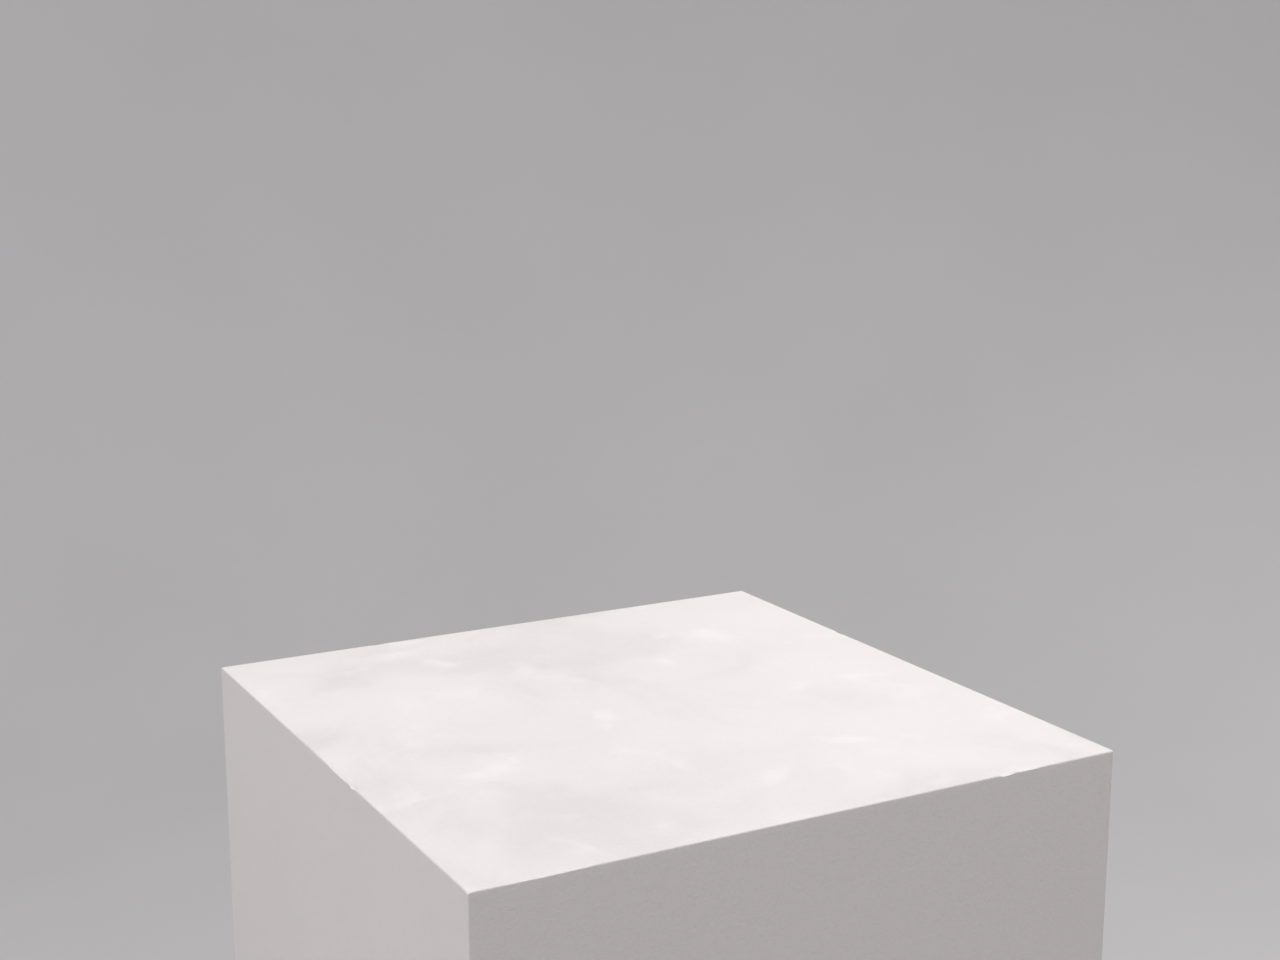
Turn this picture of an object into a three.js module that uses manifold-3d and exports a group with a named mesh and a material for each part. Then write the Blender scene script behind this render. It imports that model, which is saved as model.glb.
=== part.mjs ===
// Display plinth, 400 x 400 x 1100 mm: a mitred box of painted 18 mm board on a hidden softwood frame,
// standing on four screw-in levelling feet. Millimetres, +Z up, origin on the floor under the centre.
// The front faces -Y. The plinth has four like sides, so each side is built once and turned about Z.
import * as THREE from "three";
import { mergeVertices } from "three/addons/utils/BufferGeometryUtils.js";
import Module from "manifold-3d";

// Overall sizes
const SIDE = 400;
const HEIGHT = 1100;
const BOARD = 18; // thickness of the outer boards and of the board under the top
const SHADOW_GAP = 5; // floor to the lower edge of the side boards

// Hidden frame
const POST = 44;
const RAIL_DEPTH = 34;
const RAIL_HEIGHT = 44;
const FRAME_BOTTOM = 20;

// Loose plywood tongues glued into stopped grooves across the mitres
const SPLINE_WIDTH = 16;
const SPLINE_THICK = 4;
const SPLINE_INSET = 13; // outer face to the middle of the tongue
const SPLINE_STOP = 60; // outer corner to the end of the groove

// Countersunk wood screws
const SCREW_R = 2;
const SCREW_HEAD_R = 4;
const SCREW_HEAD_HEIGHT = 3;
const SCREW_TIP = 5;
const DRIVE_WIDTH = 1.1;
const DRIVE_DEPTH = 1.8;
const RAIL_SCREW_LENGTH = 45;
const RAIL_SCREW_X = 90;
const TOP_SCREW_LENGTH = 30;
const TOP_SCREW_X = 60;
const TOP_SCREW_Y = -120;

// Levelling feet: M10 stem, captive in a nylon pad with a rubber sole
const SOLE_R = 19;
const SOLE_HEIGHT = 2;
const PAD_R = 20;
const PAD_TOP = 10;
const PAD_SHOULDER_R = 11;
const BUTTON_R = 6; // the stem's lower end, held in the pad
const BUTTON_TOP = 5;
const NECK_R = 4;
const STEM_R = 5;
const STEM_TOP = 70;
const STEM_CHAMFER = 1;
const HEX_FLATS = 17;
const INSERT_R = 8;
const INSERT_FLANGE_R = 12;
const INSERT_FLANGE = 2;
const INSERT_TOP = 42;
const POST_BORE_R = 6;
const POST_BORE_TOP = 75;

// Clearances
const GAP = 0.3; // glue line between pieces that touch
const RUN_CLEARANCE = 0.05; // radial, where the stem turns
const MITRE_BACK = (GAP / 2) * Math.SQRT2; // how far half a glue line moves a mitred edge

// Places that follow from the sizes
const HALF = SIDE / 2;
const INNER = HALF - BOARD;
const FRAME_FACE = INNER - GAP;
const POST_AT = FRAME_FACE - POST / 2;
const RAIL_LENGTH = 2 * (FRAME_FACE - POST - GAP);
const RAIL_INNER = FRAME_FACE - RAIL_DEPTH;
const SUB_TOP_TOP = HEIGHT - BOARD - GAP;
const FRAME_TOP = SUB_TOP_TOP - BOARD - GAP;
const HEX_BOTTOM = PAD_TOP + GAP;
const INSERT_BOTTOM = FRAME_BOTTOM - INSERT_FLANGE;
const HEX_TOP = INSERT_BOTTOM - GAP;
const INSERT_SHOULDER = FRAME_BOTTOM - GAP;

const ROUND = 24; // facets round the feet
const SCREW_ROUND = 12; // facets round a screw
const QUARTER = Math.PI / 2;
const SIDES = ["front", "right", "back", "left"];
const CORNERS = ["front_left", "front_right", "back_right", "back_left"];

const paint = { color: 0xe6e1df, roughness: 0.75, metalness: 0 };
const plywood = { color: 0xcdac7d, roughness: 0.8, metalness: 0 };
const softwood = { color: 0xdcb988, roughness: 0.75, metalness: 0 };
const zinc = { color: 0xb4b6b8, roughness: 0.35, metalness: 1 };
const nylon = { color: 0x2b2b2d, roughness: 0.55, metalness: 0 };
const rubber = { color: 0x1b1b1b, roughness: 0.9, metalness: 0 };

const wasm = await Module();
wasm.setup();

function addPiece(parent, name, geometry, look) {
  const mesh = new THREE.Mesh(geometry, new THREE.MeshStandardMaterial(look));
  mesh.name = name;
  parent.add(mesh);
  return mesh;
}

// three.js geometry to a manifold solid, without the collapsed triangles at a lathe's poles
function toSolid(geometry) {
  const bare = geometry.clone();
  bare.deleteAttribute("normal");
  bare.deleteAttribute("uv");
  const merged = mergeVertices(bare, 1e-4);
  const corners = merged.index.array;
  const triVerts = [];
  for (let i = 0; i < corners.length; i += 3) {
    const [a, b, c] = corners.slice(i, i + 3);
    if (a !== b && b !== c && c !== a) {
      triVerts.push(a, b, c);
    }
  }
  return new wasm.Manifold(
    new wasm.Mesh({
      numProp: 3,
      vertProperties: merged.attributes.position.array,
      triVerts: Uint32Array.from(triVerts),
    }),
  );
}

function toGeometry(solid) {
  const mesh = solid.getMesh();
  const geometry = new THREE.BufferGeometry();
  geometry.setAttribute("position", new THREE.BufferAttribute(mesh.vertProperties, 3));
  geometry.setIndex(new THREE.BufferAttribute(mesh.triVerts, 1));
  geometry.computeVertexNormals();
  return geometry;
}

function cut(geometry, cutters) {
  let solid = toSolid(geometry);
  for (const cutter of cutters) {
    solid = solid.subtract(toSolid(cutter));
  }
  return toGeometry(solid);
}

// A solid turned about Z from [radius, height] points. A profile that stays off the axis closes on itself.
function turned(profile, facets) {
  const points = profile.map(([r, z]) => new THREE.Vector2(r, z));
  if (profile[0][0] > 0) {
    points.push(points[0].clone());
  }
  const geometry = new THREE.LatheGeometry(points, facets);
  geometry.rotateX(QUARTER);
  return geometry;
}

// The circumscribed radius whose flats clear a round shaft of this radius
function boreRadius(shaftRadius, clearance) {
  return (shaftRadius + clearance) / Math.cos(Math.PI / ROUND);
}

// A board standing in the XZ plane with its outer face at y = 0 and its lower edge at z = 0.
// The left, right and top edges are mitred at 45 degrees, and the bottom edge too when asked.
function mitredBoard(width, height, bottomMitred) {
  const board = new THREE.BoxGeometry(width, BOARD, height);
  board.translate(0, BOARD / 2, height / 2);
  const corner = board.attributes.position;
  const innerBottom = bottomMitred ? BOARD : 0;
  for (let i = 0; i < corner.count; i += 1) {
    const onInnerFace = corner.getY(i) > BOARD / 2;
    const atTop = corner.getZ(i) > height / 2;
    if (onInnerFace) {
      corner.setX(i, Math.sign(corner.getX(i)) * (width / 2 - BOARD));
      corner.setZ(i, atTop ? height - BOARD : innerBottom);
    }
  }
  return board;
}

// A tongue, or its groove when grown, lying along Z and turned to cross the front left mitre
function uprightSpline(grow) {
  const length = HEIGHT - 2 * SPLINE_STOP + 2 * grow;
  const spline = new THREE.BoxGeometry(SPLINE_WIDTH + 2 * grow, SPLINE_THICK + 2 * grow, length);
  spline.rotateZ(-Math.PI / 4);
  spline.translate(SPLINE_INSET - HALF, SPLINE_INSET - HALF, HEIGHT / 2);
  return spline;
}

// A tongue, or its groove when grown, lying along X and turned to cross the front top mitre
function topSpline(grow) {
  const length = SIDE - 2 * SPLINE_STOP + 2 * grow;
  const spline = new THREE.BoxGeometry(length, SPLINE_WIDTH + 2 * grow, SPLINE_THICK + 2 * grow);
  spline.rotateX(Math.PI / 4);
  spline.translate(0, SPLINE_INSET - HALF, HEIGHT - SPLINE_INSET);
  return spline;
}

// A countersunk screw, or its hole when grown, with its head's face at z = 0 and its tip downward
function screwShape(length, grow) {
  return turned(
    [
      [0, -length - grow],
      [SCREW_R + grow, SCREW_TIP - length],
      [SCREW_R + grow, -SCREW_HEAD_HEIGHT],
      [SCREW_HEAD_R + grow, 0],
      [SCREW_HEAD_R + grow, grow],
      [0, grow],
    ],
    SCREW_ROUND,
  );
}

function screw(length) {
  const depth = 2 * DRIVE_DEPTH;
  const slot = new THREE.BoxGeometry(SCREW_HEAD_R, DRIVE_WIDTH, depth);
  const crossSlot = new THREE.BoxGeometry(DRIVE_WIDTH, SCREW_HEAD_R, depth);
  return cut(screwShape(length, 0), [slot, crossSlot]);
}

// From the inner face of the front base rail outwards through it into the front board
function placeRailScrew(shape, x) {
  shape.rotateX(-QUARTER);
  shape.translate(x, -RAIL_INNER, FRAME_BOTTOM + RAIL_HEIGHT / 2);
  return shape;
}

// From below, up through the board under the top into the top
function placeTopScrew(shape, x) {
  shape.rotateX(Math.PI);
  shape.translate(x, TOP_SCREW_Y, SUB_TOP_TOP - BOARD);
  return shape;
}

function frontRailScrewHoles() {
  return [-RAIL_SCREW_X, RAIL_SCREW_X].map((x) => placeRailScrew(screwShape(RAIL_SCREW_LENGTH, GAP), x));
}

function allTopScrewHoles() {
  const holes = [];
  for (let i = 0; i < SIDES.length; i += 1) {
    for (const x of [-TOP_SCREW_X, TOP_SCREW_X]) {
      const hole = placeTopScrew(screwShape(TOP_SCREW_LENGTH, GAP), x);
      holes.push(hole.rotateZ(i * QUARTER));
    }
  }
  return holes;
}

function sidePanel() {
  const board = mitredBoard(SIDE - 2 * MITRE_BACK, HEIGHT - SHADOW_GAP - MITRE_BACK, false);
  board.translate(0, -HALF, SHADOW_GAP);
  const rightGroove = uprightSpline(GAP).rotateZ(QUARTER);
  return cut(board, [uprightSpline(GAP), rightGroove, topSpline(GAP), ...frontRailScrewHoles()]);
}

function topPanel() {
  const board = mitredBoard(SIDE - 2 * MITRE_BACK, SIDE - 2 * MITRE_BACK, true);
  board.translate(0, 0, MITRE_BACK - HALF);
  board.rotateX(-QUARTER);
  board.translate(0, 0, HEIGHT);
  const grooves = SIDES.map((_, i) => topSpline(GAP).rotateZ(i * QUARTER));
  return cut(board, [...grooves, ...allTopScrewHoles()]);
}

function subTopBoard() {
  const board = new THREE.BoxGeometry(2 * FRAME_FACE, 2 * FRAME_FACE, BOARD);
  board.translate(0, 0, SUB_TOP_TOP - BOARD / 2);
  return cut(board, allTopScrewHoles());
}

function post() {
  const height = FRAME_TOP - FRAME_BOTTOM;
  const stick = new THREE.BoxGeometry(POST, POST, height);
  stick.translate(0, 0, FRAME_BOTTOM + height / 2);
  const bore = turned(
    [
      [0, FRAME_BOTTOM - 1],
      [INSERT_R + GAP, FRAME_BOTTOM - 1],
      [INSERT_R + GAP, INSERT_TOP + GAP],
      [POST_BORE_R, INSERT_TOP + GAP],
      [POST_BORE_R, POST_BORE_TOP],
      [0, POST_BORE_TOP],
    ],
    ROUND,
  );
  return cut(stick, [bore]);
}

function rail(bottom) {
  const stick = new THREE.BoxGeometry(RAIL_LENGTH, RAIL_DEPTH, RAIL_HEIGHT);
  stick.translate(0, RAIL_DEPTH / 2 - FRAME_FACE, bottom + RAIL_HEIGHT / 2);
  return stick;
}

function insertNut() {
  const bore = boreRadius(STEM_R, RUN_CLEARANCE);
  return turned(
    [
      [bore, INSERT_BOTTOM],
      [INSERT_FLANGE_R, INSERT_BOTTOM],
      [INSERT_FLANGE_R, INSERT_SHOULDER],
      [INSERT_R, INSERT_SHOULDER],
      [INSERT_R, INSERT_TOP],
      [bore, INSERT_TOP],
    ],
    ROUND,
  );
}

function footStem() {
  const bottom = SOLE_HEIGHT + GAP;
  const spindle = turned(
    [
      [0, bottom],
      [BUTTON_R, bottom],
      [BUTTON_R, BUTTON_TOP],
      [NECK_R, BUTTON_TOP],
      [NECK_R, HEX_TOP],
      [STEM_R, HEX_TOP],
      [STEM_R, STEM_TOP - STEM_CHAMFER],
      [STEM_R - STEM_CHAMFER, STEM_TOP],
      [0, STEM_TOP],
    ],
    ROUND,
  );
  const hexRadius = HEX_FLATS / 2 / Math.cos(Math.PI / 6);
  const hex = new THREE.CylinderGeometry(hexRadius, hexRadius, HEX_TOP - HEX_BOTTOM, 6);
  hex.rotateX(QUARTER);
  hex.translate(0, 0, (HEX_TOP + HEX_BOTTOM) / 2);
  return toGeometry(toSolid(spindle).add(toSolid(hex)));
}

function footPad() {
  const bottom = SOLE_HEIGHT + GAP;
  const cup = boreRadius(BUTTON_R, GAP);
  const collar = boreRadius(NECK_R, RUN_CLEARANCE);
  return turned(
    [
      [cup, bottom],
      [PAD_R, bottom],
      [PAD_R, bottom + 2],
      [PAD_R - 1.5, bottom + 4],
      [PAD_SHOULDER_R, PAD_TOP],
      [collar, PAD_TOP],
      [collar, BUTTON_TOP + GAP],
      [cup, BUTTON_TOP + GAP],
    ],
    ROUND,
  );
}

function footSole() {
  return turned([[0, 0], [SOLE_R, 0], [SOLE_R, SOLE_HEIGHT], [0, SOLE_HEIGHT]], ROUND);
}

// Everything on one side: its board, the tongues and the post at its left corner, the foot, the rails
function addSide(plinth, i) {
  const side = SIDES[i];
  const corner = CORNERS[i];
  const turn = new THREE.Group();
  turn.rotation.z = i * QUARTER;
  plinth.add(turn);

  addPiece(turn, `${side}_panel`, sidePanel(), paint);
  addPiece(turn, `${corner}_edge_spline`, uprightSpline(0), plywood);
  addPiece(turn, `top_${side}_spline`, topSpline(0), plywood);
  addPiece(turn, `base_rail_${side}`, cut(rail(FRAME_BOTTOM), frontRailScrewHoles()), softwood);
  addPiece(turn, `top_rail_${side}`, rail(FRAME_TOP - RAIL_HEIGHT), softwood);
  for (const [x, end] of [[-1, "a"], [1, "b"]]) {
    const railScrew = placeRailScrew(screw(RAIL_SCREW_LENGTH), x * RAIL_SCREW_X);
    addPiece(turn, `base_rail_screw_${side}_${end}`, railScrew, zinc);
    const topScrew = placeTopScrew(screw(TOP_SCREW_LENGTH), x * TOP_SCREW_X);
    addPiece(turn, `top_screw_${side}_${end}`, topScrew, zinc);
  }

  const foot = new THREE.Group();
  foot.position.set(-POST_AT, -POST_AT, 0);
  turn.add(foot);
  addPiece(foot, `${corner}_post`, post(), softwood);
  addPiece(foot, `${corner}_insert_nut`, insertNut(), zinc);
  addPiece(foot, `${corner}_foot_stem`, footStem(), zinc);
  addPiece(foot, `${corner}_foot_pad`, footPad(), nylon);
  addPiece(foot, `${corner}_foot_sole`, footSole(), rubber);
}

const plinth = new THREE.Group();
addPiece(plinth, "top_panel", topPanel(), paint);
addPiece(plinth, "sub_top_board", subTopBoard(), plywood);
for (let i = 0; i < SIDES.length; i += 1) {
  addSide(plinth, i);
}

export default plinth;
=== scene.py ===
"""Display plinth: a mitred box of painted MDF on a hidden softwood frame with four levelling feet.

Metres, +Z up, origin on the floor under the centre, front panel towards -Y. The CAD frame gives every place.
"""
import math

import bmesh
import bpy
from mathutils import Matrix, Vector, noise


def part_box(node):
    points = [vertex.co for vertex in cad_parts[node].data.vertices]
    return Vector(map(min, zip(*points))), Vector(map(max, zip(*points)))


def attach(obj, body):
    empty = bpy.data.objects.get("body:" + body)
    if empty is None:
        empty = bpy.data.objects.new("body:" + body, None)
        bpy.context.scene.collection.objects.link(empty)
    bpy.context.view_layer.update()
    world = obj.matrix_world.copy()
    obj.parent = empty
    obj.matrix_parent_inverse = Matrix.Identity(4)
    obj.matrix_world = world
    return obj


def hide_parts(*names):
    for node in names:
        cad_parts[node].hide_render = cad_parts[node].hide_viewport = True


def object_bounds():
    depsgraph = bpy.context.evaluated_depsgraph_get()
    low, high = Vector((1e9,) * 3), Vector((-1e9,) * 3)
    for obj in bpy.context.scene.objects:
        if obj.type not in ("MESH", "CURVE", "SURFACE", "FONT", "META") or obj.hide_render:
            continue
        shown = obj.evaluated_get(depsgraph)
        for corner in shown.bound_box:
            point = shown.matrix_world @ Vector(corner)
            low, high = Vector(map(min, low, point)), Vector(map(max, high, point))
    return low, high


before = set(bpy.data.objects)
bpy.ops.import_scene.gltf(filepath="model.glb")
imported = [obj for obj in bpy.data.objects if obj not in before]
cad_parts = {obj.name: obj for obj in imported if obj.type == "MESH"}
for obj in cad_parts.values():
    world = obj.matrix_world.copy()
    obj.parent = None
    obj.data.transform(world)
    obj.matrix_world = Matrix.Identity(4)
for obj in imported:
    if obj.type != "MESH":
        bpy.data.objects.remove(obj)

cad_low, cad_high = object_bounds()

MM = 0.001
TAU = 2 * math.pi
QUARTER = math.pi / 2
SIDES = ["front", "right", "back", "left"]
CORNERS = ["front_left", "front_right", "back_right", "back_left"]


# ---------------------------------------------------------------- camera

# The near corner of the top is front_left. The lens stands this far from it, level and up.
CORNER_TO_LENS = Vector((-0.318, -0.745, 0.362))
LENS_HEADING = math.radians(-28.83)  # turned about Z from looking along +Y
LENS_PITCH = math.radians(11.6)  # downward
LENS_MM = 51.97
SENSOR_MM = 36


def add_camera():
    data = bpy.data.cameras.new("camera")
    data.lens = LENS_MM
    data.sensor_width = SENSOR_MM
    data.clip_start = 0.05
    data.clip_end = 60
    camera = bpy.data.objects.new("camera", data)
    near_corner = Vector((cad_low.x, cad_low.y, cad_high.z))
    camera.location = near_corner + CORNER_TO_LENS
    camera.rotation_euler = (QUARTER - LENS_PITCH, 0, LENS_HEADING)
    bpy.context.scene.collection.objects.link(camera)
    bpy.context.scene.camera = camera


# ---------------------------------------------------------------- node helpers


class Nodes:
    """A short way to write one material's node tree."""

    def __init__(self, name):
        self.material = bpy.data.materials.new(name)
        self.material.use_nodes = True
        self.tree = self.material.node_tree
        self.shader = self.tree.nodes["Principled BSDF"]
        self.place = self.add("ShaderNodeTexCoord").outputs["Object"]

    def add(self, kind, **settings):
        node = self.tree.nodes.new(kind)
        for key, value in settings.items():
            setattr(node, key, value)
        return node

    def link(self, value, socket):
        if isinstance(value, bpy.types.NodeSocket):
            self.tree.links.new(value, socket)
        else:
            socket.default_value = value

    def math(self, operation, a, b=0.0):
        node = self.add("ShaderNodeMath", operation=operation)
        self.link(a, node.inputs[0])
        self.link(b, node.inputs[1])
        return node.outputs[0]

    def vector(self, operation, a, b=(0, 0, 0)):
        node = self.add("ShaderNodeVectorMath", operation=operation)
        self.link(a, node.inputs[0])
        self.link(b, node.inputs[1])
        return node.outputs["Value" if operation in ("DOT_PRODUCT", "LENGTH") else "Vector"]

    def stretched(self, scales, place=None):
        return self.vector("MULTIPLY", place or self.place, scales)

    def noise(self, scale, detail=2.0, rough=0.5, place=None, warp=0.0):
        node = self.add("ShaderNodeTexNoise")
        self.link(place or self.place, node.inputs["Vector"])
        node.inputs["Scale"].default_value = scale
        node.inputs["Detail"].default_value = detail
        node.inputs["Roughness"].default_value = rough
        node.inputs["Distortion"].default_value = warp
        return node.outputs["Fac"]

    def remap(self, value, low, high, to_low=0.0, to_high=1.0):
        node = self.add("ShaderNodeMapRange", interpolation_type="SMOOTHSTEP")
        for socket, number in zip(node.inputs, (value, low, high, to_low, to_high)):
            self.link(number, socket)
        return node.outputs["Result"]

    def link_colour(self, value, socket):
        self.link((*value, 1.0) if isinstance(value, tuple) else value, socket)

    def mix(self, share, a, b):
        node = self.add("ShaderNodeMix", data_type="RGBA")
        self.link(share, node.inputs["Factor"])
        self.link_colour(a, node.inputs["A"])
        self.link_colour(b, node.inputs["B"])
        return node.outputs["Result"]

    def ramp(self, value, stops):
        node = self.add("ShaderNodeValToRGB")
        self.link(value, node.inputs["Fac"])
        elements = node.color_ramp.elements
        for element, (position, colour) in zip(elements, (stops[0], stops[-1])):
            element.position = position
            element.color = (*colour, 1.0)
        for position, colour in stops[1:-1]:
            elements.new(position).color = (*colour, 1.0)
        return node.outputs["Color"]

    def bump(self, height, distance, strength=1.0, under=None):
        node = self.add("ShaderNodeBump")
        node.inputs["Distance"].default_value = distance
        node.inputs["Strength"].default_value = strength
        self.link(height, node.inputs["Height"])
        if under is not None:
            self.link(under, node.inputs["Normal"])
        return node.outputs["Normal"]

    def finish(self, colour, roughness, normal=None):
        self.link_colour(colour, self.shader.inputs["Base Color"])
        self.link(roughness, self.shader.inputs["Roughness"])
        if normal is not None:
            self.link(normal, self.shader.inputs["Normal"])
        return self.material


# ---------------------------------------------------------------- materials

PAINT_WHITE = (0.785, 0.740, 0.737)
PAINT_SHADE = (0.762, 0.717, 0.714)
PAINT_RUBBED = (0.835, 0.795, 0.79)
# colour of the top's darker cloudy patches: partly smudges, partly painted shade standing in for a soft
# shadow
PAINT_SMUDGE_AND_SHADE = (0.655, 0.618, 0.612)
SCUFF_GREY = (0.34, 0.325, 0.315)
MDF_TAN = (0.36, 0.235, 0.135)
MDF_DARK = (0.24, 0.15, 0.085)
MDF_FLECK = (0.16, 0.10, 0.055)
EARLY_WOOD = (0.68, 0.455, 0.24)
LATE_WOOD = (0.47, 0.25, 0.095)
WOOD_STREAK = (0.52, 0.31, 0.14)
BIRCH_LONG = (0.66, 0.47, 0.27)
BIRCH_FIGURE = (0.56, 0.37, 0.19)
BIRCH_END = (0.44, 0.27, 0.13)
BIRCH_PORE = (0.33, 0.19, 0.085)
ZINC_BLUE = (0.55, 0.58, 0.62)
ZINC_GREY = (0.60, 0.61, 0.61)
ZINC_YELLOW = (0.63, 0.60, 0.52)
NYLON_BLACK = (0.018, 0.018, 0.020)
NYLON_FLOW = (0.030, 0.030, 0.033)
RUBBER_BLACK = (0.012, 0.012, 0.012)
RUBBER_DUST = (0.05, 0.048, 0.045)

RINGS_PER_METRE = 300.0
RING_WANDER = 28 * MM
TOP_Z = cad_high.z
FOOT_Z = cad_low.z
ON_TOP = (TOP_Z - 0.6 * MM, TOP_Z - 0.2 * MM)  # heights where the top's marks fade in: smudges with painted shade, and rubbed spots
GRIME_HEIGHTS = (FOOT_Z + 75 * MM, FOOT_Z + 4 * MM)
KICK_HEIGHTS = (FOOT_Z + 120 * MM, FOOT_Z + 20 * MM)


def paint():
    """Rolled matt emulsion: stipple and laps, darker cloudy patches on the top that are partly smudges and
    partly painted shade, rubbed spots on the top, scuffs low down.
    """
    n = Nodes("painted_board")
    split = n.add("ShaderNodeSeparateXYZ")
    n.link(n.place, split.inputs[0])
    z = split.outputs["Z"]

    clouds = n.noise(3.5, 2.0, 0.5)
    laps = n.noise(8.0, 2.0, 0.5, n.stretched((1.0, 1.0, 0.18)))
    colour = n.mix(n.remap(clouds, 0.35, 0.68), PAINT_WHITE, PAINT_SHADE)
    colour = n.mix(n.remap(laps, 0.45, 0.72, 0.0, 0.4), colour, PAINT_SHADE)

    on_top = n.remap(z, *ON_TOP)
    # painted shade: darker cloudy patches on the top, partly smudges and partly a painted soft shadow
    smudge_and_shade = n.remap(n.noise(8.5, 5.0, 0.55, warp=0.5), 0.42, 0.72, 0.0, 0.6)
    colour = n.mix(n.math("MULTIPLY", smudge_and_shade, on_top), colour, PAINT_SMUDGE_AND_SHADE)
    rubbed = n.remap(n.noise(21.0, 3.0, 0.5, warp=0.3), 0.55, 0.76, 0.0, 0.7)
    colour = n.mix(n.math("MULTIPLY", rubbed, on_top), colour, PAINT_RUBBED)

    grime = n.remap(n.noise(13.0, 4.0, 0.6, n.stretched((1.0, 1.0, 2.2))), 0.3, 0.75, 0.0, 0.22)
    near_floor = n.remap(z, *GRIME_HEIGHTS)
    colour = n.mix(n.math("MULTIPLY", grime, near_floor), colour, SCUFF_GREY)
    rub_line = n.remap(n.noise(1.0, 3.0, 0.55, n.stretched((11.0, 11.0, 330.0)), 0.25), 0.63, 0.72, 0.0, 0.38)
    kick_height = n.remap(z, *KICK_HEIGHTS)
    colour = n.mix(n.math("MULTIPLY", rub_line, kick_height), colour, SCUFF_GREY)

    stipple = n.noise(430.0, 3.0, 0.62)
    peel = n.noise(150.0, 2.0, 0.5)
    normal = n.bump(peel, 0.30 * MM, 0.6)
    normal = n.bump(stipple, 0.30 * MM, 0.9, normal)
    roughness = n.remap(n.noise(11.0, 3.0, 0.6), 0.3, 0.7, 0.52, 0.66)
    return n.finish(colour, roughness, normal)


def raw_mdf():
    """Sawn MDF: close fibres, slightly furry."""
    n = Nodes("raw_mdf")
    fibres = n.noise(900.0, 3.0, 0.7)
    flecks = n.noise(260.0, 2.0, 0.6)
    colour = n.mix(n.remap(fibres, 0.3, 0.7), MDF_TAN, MDF_DARK)
    colour = n.mix(n.remap(flecks, 0.6, 0.72, 0.0, 0.5), colour, MDF_FLECK)
    return n.finish(colour, 0.92, n.bump(fibres, 0.08 * MM, 0.7))


def softwood(name, along, pith):
    """Planed redwood: growth rings round a pith line, which runs along axis `along` and through `pith`."""
    n = Nodes(name)
    across = [0.0 if i == along else 1.0 for i in range(3)]
    off_pith = n.vector("SUBTRACT", n.place, pith)
    wander_scale = [3.0 if i == along else 14.0 for i in range(3)]
    wander = n.noise(1.0, 2.0, 0.5, n.stretched(wander_scale))
    radius = n.vector("LENGTH", n.vector("MULTIPLY", off_pith, tuple(across)))
    radius = n.math("ADD", radius, n.math("MULTIPLY", wander, RING_WANDER))
    ring = n.math("FRACT", n.math("MULTIPLY", radius, RINGS_PER_METRE))
    late = n.math("MULTIPLY", n.remap(ring, 0.50, 0.93), n.remap(ring, 1.0, 0.95))
    streak_scale = [28.0 if i == along else 900.0 for i in range(3)]
    streaks = n.noise(1.0, 2.0, 0.6, n.stretched(streak_scale))
    colour = n.mix(n.math("MULTIPLY", late, 0.7), EARLY_WOOD, LATE_WOOD)
    colour = n.mix(n.remap(streaks, 0.45, 0.75, 0.0, 0.4), colour, WOOD_STREAK)
    height = n.math("ADD", streaks, n.math("MULTIPLY", late, 0.25))
    return n.finish(colour, n.remap(late, 0.0, 1.0, 0.66, 0.52), n.bump(height, 0.06 * MM, 0.5))


def plywood(name, across, ply):
    """Birch plywood: veneers stacked along `across`, each `ply` thick, alternately long and end grain."""
    n = Nodes(name)
    depth = n.vector("DOT_PRODUCT", n.place, tuple(across))
    layer = n.math("PINGPONG", n.math("DIVIDE", depth, ply), 1.0)
    end_grain = n.remap(layer, 0.44, 0.56)
    figure = n.noise(1.0, 3.0, 0.55, n.stretched((7.0, 46.0, 46.0)), 1.2)
    pores = n.noise(1.0, 2.0, 0.6, n.stretched((120.0, 1100.0, 1100.0)))
    light = n.mix(n.remap(figure, 0.35, 0.68), BIRCH_LONG, BIRCH_FIGURE)
    dark = n.mix(n.remap(pores, 0.35, 0.65), BIRCH_END, BIRCH_PORE)
    colour = n.mix(end_grain, light, dark)
    return n.finish(colour, 0.72, n.bump(pores, 0.06 * MM, 0.5))


def zinc():
    """Bright zinc plate with a faint blue and yellow passivation tint."""
    n = Nodes("zinc_steel")
    tint = n.noise(70.0, 2.0, 0.5)
    colour = n.ramp(tint, [(0.35, ZINC_BLUE), (0.5, ZINC_GREY), (0.66, ZINC_YELLOW)])
    grain = n.noise(1500.0, 2.0, 0.6)
    roughness = n.remap(n.noise(240.0, 3.0, 0.6), 0.3, 0.7, 0.24, 0.40)
    n.shader.inputs["Metallic"].default_value = 1.0
    return n.finish(colour, roughness, n.bump(grain, 0.02 * MM, 0.35))


def nylon():
    """Moulded black nylon with a fine spark texture."""
    n = Nodes("nylon")
    grain = n.noise(1800.0, 2.0, 0.5)
    flow = n.noise(60.0, 2.0, 0.5)
    colour = n.mix(n.remap(flow, 0.3, 0.7), NYLON_BLACK, NYLON_FLOW)
    return n.finish(colour, n.remap(grain, 0.3, 0.7, 0.38, 0.52), n.bump(grain, 0.03 * MM, 0.5))


def rubber():
    """Dark rubber, a little dusty."""
    n = Nodes("rubber")
    dust = n.noise(300.0, 4.0, 0.65)
    colour = n.mix(n.remap(dust, 0.5, 0.8), RUBBER_BLACK, RUBBER_DUST)
    return n.finish(colour, n.remap(dust, 0.3, 0.8, 0.72, 0.92), n.bump(dust, 0.05 * MM, 0.5))


def backdrop_paint(name, colour, glow):
    """Lit from behind as well as in front, so that the ground stays even on all sides."""
    n = Nodes(name)
    soft = n.noise(1.5, 2.0, 0.5)
    darker = tuple(0.97 * c for c in colour)
    n.shader.inputs["Emission Color"].default_value = (*colour, 1.0)
    n.shader.inputs["Emission Strength"].default_value = glow
    return n.finish(n.mix(n.remap(soft, 0.3, 0.7), colour, darker), 0.9)


# ---------------------------------------------------------------- mesh helpers


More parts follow.
